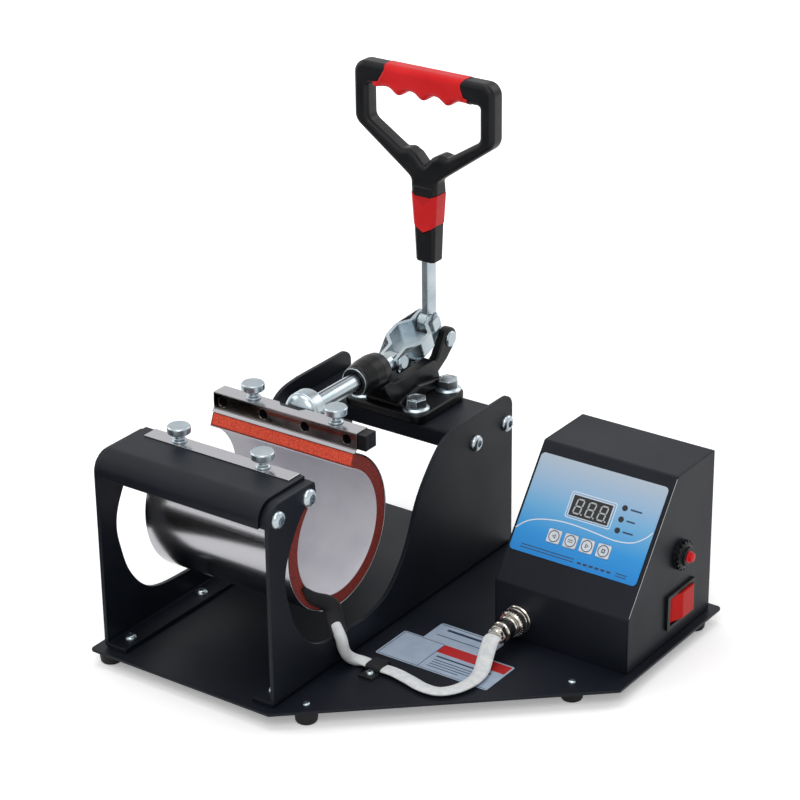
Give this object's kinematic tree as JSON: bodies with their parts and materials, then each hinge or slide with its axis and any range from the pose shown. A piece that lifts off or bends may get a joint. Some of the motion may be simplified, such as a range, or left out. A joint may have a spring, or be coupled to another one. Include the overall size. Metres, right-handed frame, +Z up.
{
  "type": "mug heat press",
  "caption": "Mug heat press: bent-sheet frame with a ring heater that a toggle lever with a D-handle closes round a mug, and a sloping control box.",
  "frame": {"origin": "middle of the whole part's box, on the surface that the feet stand on", "axes": "+Z up, -Y to the front where the mug is put in, +X to the control box's side"},
  "size_m": [0.3168, 0.2976, 0.345],
  "materials": {
    "black_powder_coat": "fine matt powder coat",
    "black_bar": "smooth black",
    "black_cast_iron": "black coated casting, satin",
    "zinc_plate": "bright bluish zinc plating",
    "stainless_band": "polished stainless strip",
    "silicone_pad": "red silicone sponge",
    "black_rubber": "matt rubber",
    "foot_rubber": "matt rubber",
    "glass_sleeve": "woven glass-fibre sleeve",
    "black_plastic": "moulded black",
    "handle_plastic": "moulded black, satin",
    "red_plastic": "moulded red",
    "panel_film": "printed film, pale to strong blue",
    "button_film": "domed film button",
    "display_lens": "dark lens",
    "board_laminate": "green laminate",
    "chrome_connector": "nickel-plated"
  },
  "bodies": {
    "frame": {"base_plate": "black_powder_coat", "side_plate_left": "black_powder_coat", "side_plate_right": "black_powder_coat", "front_rail": "black_powder_coat", "rear_rail": "black_powder_coat", "foot_front_left": "foot_rubber", "foot_front_middle": "foot_rubber", "foot_front_right": "foot_rubber", "foot_rear_left": "foot_rubber", "foot_rear_right": "foot_rubber", "clamp_body": "black_cast_iron", "handle_pin": "zinc_plate", "heater_band_front": "stainless_band", "heater_pad_front": "silicone_pad", "lead_boot": "black_rubber", "heater_lead": "glass_sleeve", "lead_clip": "black_plastic", "connector_socket": "chrome_connector", "connector_plug": "chrome_connector", "box_shell": "black_powder_coat", "box_rear_cover": "black_powder_coat", "panel_overlay": "panel_film", "display_window": "display_lens", "circuit_board": "board_laminate", "reset_nut": "black_plastic", "rocker_frame": "black_plastic", "power_inlet": "black_plastic", "rail_screw_right_front_low": "zinc_plate", "rail_screw_right_front_high": "zinc_plate", "rail_screw_right_rear_front": "zinc_plate", "rail_screw_right_rear_back": "zinc_plate", "rail_screw_left_front_low": "zinc_plate", "rail_screw_left_front_high": "zinc_plate", "rail_screw_left_rear_front": "zinc_plate", "rail_screw_left_rear_back": "zinc_plate", "clamp_bolt_front_left": "zinc_plate", "clamp_bolt_front_right": "zinc_plate", "clamp_bolt_rear_left": "zinc_plate", "clamp_bolt_rear_right": "zinc_plate"},
    "handle": {"lever_bar": "zinc_plate", "handle_grip": "handle_plastic", "grip_insert": "red_plastic", "handle_collar": "red_plastic"},
    "link": {"toggle_link": "zinc_plate"},
    "plunger": {"plunger_rod": "zinc_plate", "plunger_head": "zinc_plate"},
    "heater_jaw": {"heater_band_rear": "stainless_band", "heater_pad_rear": "silicone_pad", "clamp_bar": "black_bar"},
    "thumb_front_left": {"thumb_screw_front_left": "zinc_plate"},
    "thumb_front_right": {"thumb_screw_front_right": "zinc_plate"},
    "thumb_rear_left": {"thumb_screw_rear_left": "zinc_plate"},
    "thumb_rear_right": {"thumb_screw_rear_right": "zinc_plate"},
    "power_rocker": {"rocker": "red_plastic"},
    "reset_plunger": {"reset_button": "red_plastic"},
    "button_1": {"panel_button_1": "button_film"},
    "button_2": {"panel_button_2": "button_film"},
    "button_3": {"panel_button_3": "button_film"},
    "button_4": {"panel_button_4": "button_film"},
    "coupling_ring": {"connector_ring": "chrome_connector"}
  },
  "joints": [
    {"name": "handle_swing", "type": "hinge", "parent": "frame", "child": "handle", "pos_m": [-0.0819, 0.14081, 0.15], "axis": [1, 0, 0], "range_deg": [-10, 49]},
    {"name": "link_swing", "type": "hinge", "parent": "handle", "child": "link", "pos_m": [-0.0819, 0.12905, 0.16428], "axis": [1, 0, 0], "range_deg": [-67.5, 14.2]},
    {"name": "plunger_slide", "type": "slide", "parent": "frame", "child": "plunger", "axis": [0, -1, 0], "range_m": [-0.0021, 0.0098]},
    {"name": "jaw_close", "type": "hinge", "parent": "frame", "child": "heater_jaw", "pos_m": [-0.0819, -0.05519, 0.0434], "axis": [1, 0, 0], "range_deg": [-1.2, 5.3]},
    {"name": "thumb_front_left_turn", "type": "hinge", "parent": "frame", "child": "thumb_front_left", "pos_m": [-0.1156, -0.09869, 0.162], "axis": [0, 0, 1], "continuous": true},
    {"name": "thumb_front_right_turn", "type": "hinge", "parent": "frame", "child": "thumb_front_right", "pos_m": [-0.0482, -0.09869, 0.162], "axis": [0, 0, 1], "continuous": true},
    {"name": "thumb_rear_left_turn", "type": "hinge", "parent": "heater_jaw", "child": "thumb_rear_left", "pos_m": [-0.1121, -0.02658, 0.162], "axis": [0, 0, 1], "continuous": true},
    {"name": "thumb_rear_right_turn", "type": "hinge", "parent": "heater_jaw", "child": "thumb_rear_right", "pos_m": [-0.0447, -0.02658, 0.162], "axis": [0, 0, 1], "continuous": true},
    {"name": "rocker_tilt", "type": "hinge", "parent": "frame", "child": "power_rocker", "pos_m": [0.1494, 0.08381, 0.0345], "axis": [0, 0, 1], "range_deg": [0, 18]},
    {"name": "reset_press", "type": "slide", "parent": "frame", "child": "reset_plunger", "axis": [-1, 0, 0], "range_m": [0, 0.002], "stiffness_N_per_m": 800},
    {"name": "button_1_press", "type": "slide", "parent": "frame", "child": "button_1", "axis": [0, 0.8002, -0.5997], "range_m": [0, 0.0008], "stiffness_N_per_m": 600},
    {"name": "button_2_press", "type": "slide", "parent": "frame", "child": "button_2", "axis": [0, 0.8002, -0.5997], "range_m": [0, 0.0008], "stiffness_N_per_m": 600},
    {"name": "button_3_press", "type": "slide", "parent": "frame", "child": "button_3", "axis": [0, 0.8002, -0.5997], "range_m": [0, 0.0008], "stiffness_N_per_m": 600},
    {"name": "button_4_press", "type": "slide", "parent": "frame", "child": "button_4", "axis": [0, 0.8002, -0.5997], "range_m": [0, 0.0008], "stiffness_N_per_m": 600},
    {"name": "coupling_ring_turn", "type": "hinge", "parent": "frame", "child": "coupling_ring", "pos_m": [0.0671, 0.01181, 0.0275], "axis": [0, -1, 0], "continuous": true}
  ],
  "couplings": [
    {"joint": "link_swing", "follows": "handle_swing", "ratio": -1.37},
    {"joint": "plunger_slide", "follows": "handle_swing", "m_per_rad": 0.0114},
    {"joint": "jaw_close", "follows": "handle_swing", "ratio": 0.1065}
  ]
}
